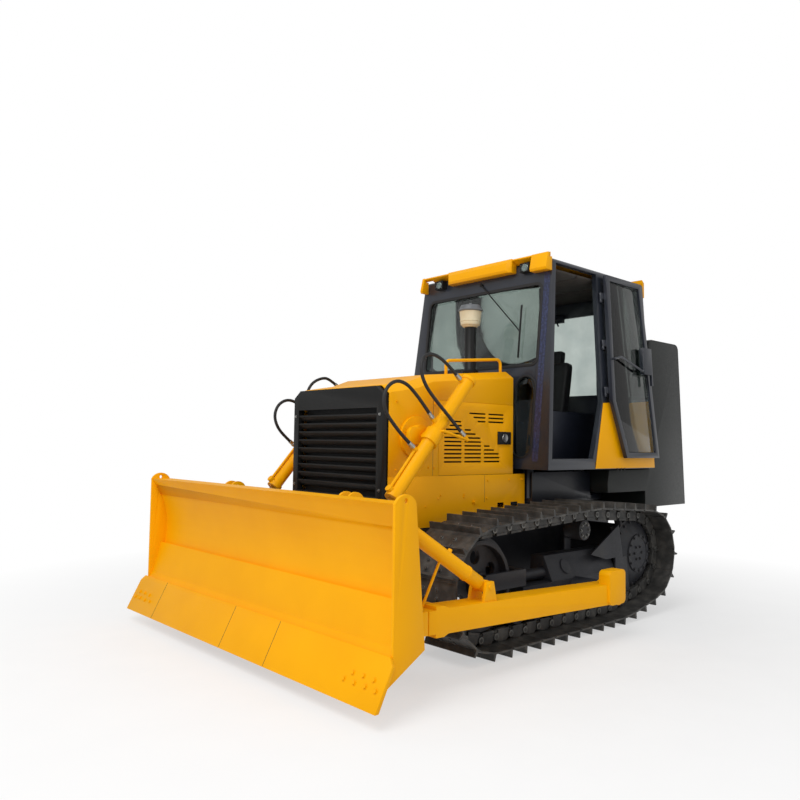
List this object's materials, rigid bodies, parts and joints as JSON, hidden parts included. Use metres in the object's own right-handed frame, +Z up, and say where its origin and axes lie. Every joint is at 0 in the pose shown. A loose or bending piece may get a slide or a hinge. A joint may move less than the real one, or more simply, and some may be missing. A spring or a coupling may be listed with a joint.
{
  "type": "crawler bulldozer",
  "caption": "Full-size crawler bulldozer with raised straight blade, glazed cab, louvred hood, steel tracks and rear tank.",
  "frame": {"origin": "middle of the machine's length and width, on the ground", "axes": "+X forward to the blade, +Y to the machine's left, +Z up"},
  "size_m": [5.07, 3.26, 3.242],
  "materials": {
    "cab_black_paint": "satin enamel",
    "cab_glass": "clear",
    "console_plastic": "matte",
    "dark_cast_steel": "satin",
    "dark_frame_paint": "satin enamel",
    "guard_black_paint": "satin enamel",
    "hose_rubber": "matte",
    "lamp_glass": "clear over silvered reflector",
    "rod_chrome": "polished",
    "seat_vinyl": "grained vinyl",
    "stack_paint": "satin",
    "tank_black_paint": "satin enamel",
    "track_steel": "worn",
    "yellow_paint": "gloss enamel"
  },
  "bodies": {
    "root": {"cab_deck": "dark_frame_paint", "cab_floor": "cab_black_paint", "cab_frame": "cab_black_paint", "cab_roof": "yellow_paint", "cab_side_panels": "yellow_paint", "cab_windows": "cab_glass", "console": "console_plastic", "cross_bar": "dark_frame_paint", "engine_block": "guard_black_paint", "engine_skirts": "yellow_paint", "final_drive_left": "dark_frame_paint", "final_drive_right": "dark_frame_paint", "hood_cover": "yellow_paint", "hood_latches": "cab_black_paint", "hood_rail": "yellow_paint", "hull": "dark_frame_paint", "idler_left": "dark_cast_steel", "idler_right": "dark_cast_steel", "intake_stack": "stack_paint", "lift_mounts": "yellow_paint", "radiator_core": "guard_black_paint", "radiator_guard": "guard_black_paint", "rear_hitch": "dark_frame_paint", "rear_tank": "tank_black_paint", "roof_lamps": "lamp_glass", "seat": "seat_vinyl", "sprocket_left": "dark_cast_steel", "sprocket_right": "dark_cast_steel", "track_frame_left": "dark_frame_paint", "track_frame_right": "dark_frame_paint", "track_left": "track_steel", "track_right": "track_steel", "track_rollers_left": "dark_cast_steel", "track_rollers_right": "dark_cast_steel", "vent_panels": "yellow_paint", "wiper": "cab_black_paint"},
    "blade": {"brace_left": "yellow_paint", "brace_right": "yellow_paint", "cutting_edge": "yellow_paint", "end_plates": "yellow_paint", "lift_lugs": "yellow_paint", "moldboard": "yellow_paint", "push_arm_left": "yellow_paint", "push_arm_right": "yellow_paint"},
    "lift_barrel_left": {"lift_barrel_left": "yellow_paint", "lift_hose_lower_left": "hose_rubber", "lift_hose_upper_left": "hose_rubber"},
    "lift_rod_left": {"lift_rod_left": "rod_chrome"},
    "door_left": {"door_glass_left": "cab_glass", "door_left": "cab_black_paint"},
    "lift_barrel_right": {"lift_barrel_right": "yellow_paint", "lift_hose_lower_right": "hose_rubber", "lift_hose_upper_right": "hose_rubber"},
    "lift_rod_right": {"lift_rod_right": "rod_chrome"},
    "door_right": {"door_glass_right": "cab_glass", "door_right": "cab_black_paint"}
  },
  "joints": [
    {"name": "blade_lift", "type": "hinge", "parent": "root", "child": "blade", "pos_m": [-0.16, 0, 0.375], "axis": [0, -1, 0], "range_deg": [-2, 14]},
    {"name": "lift_swing_left", "type": "hinge", "parent": "root", "child": "lift_barrel_left", "pos_m": [1.27, 0.76, 1.585], "axis": [0, -1, 0], "range_deg": [-3.32, 19.62]},
    {"name": "lift_stroke_left", "type": "slide", "parent": "lift_barrel_left", "child": "lift_rod_left", "axis": [0.6618, 0, -0.7497], "range_m": [-0.4531, 0.0682]},
    {"name": "lift_swing_right", "type": "hinge", "parent": "root", "child": "lift_barrel_right", "pos_m": [1.27, -0.76, 1.585], "axis": [0, -1, 0], "range_deg": [-3.32, 19.62]},
    {"name": "lift_stroke_right", "type": "slide", "parent": "lift_barrel_right", "child": "lift_rod_right", "axis": [0.6618, 0, -0.7497], "range_m": [-0.4531, 0.0682]},
    {"name": "door_left_hinge", "type": "hinge", "parent": "root", "child": "door_left", "pos_m": [-0.88, 0.91797, 1.331], "axis": [0, -0.0555, 0.9985], "range_deg": [-180, 0]},
    {"name": "door_right_hinge", "type": "hinge", "parent": "root", "child": "door_right", "pos_m": [-0.88, -0.91797, 1.331], "axis": [0, 0.0555, 0.9985], "range_deg": [-180, 0]}
  ],
  "couplings": [
    {"joint": "lift_swing_left", "follows": "blade_lift", "ratio": 1.3582},
    {"joint": "lift_stroke_left", "follows": "blade_lift", "m_per_rad": -1.8378},
    {"joint": "lift_swing_right", "follows": "blade_lift", "ratio": 1.3582},
    {"joint": "lift_stroke_right", "follows": "blade_lift", "m_per_rad": -1.8378}
  ]
}
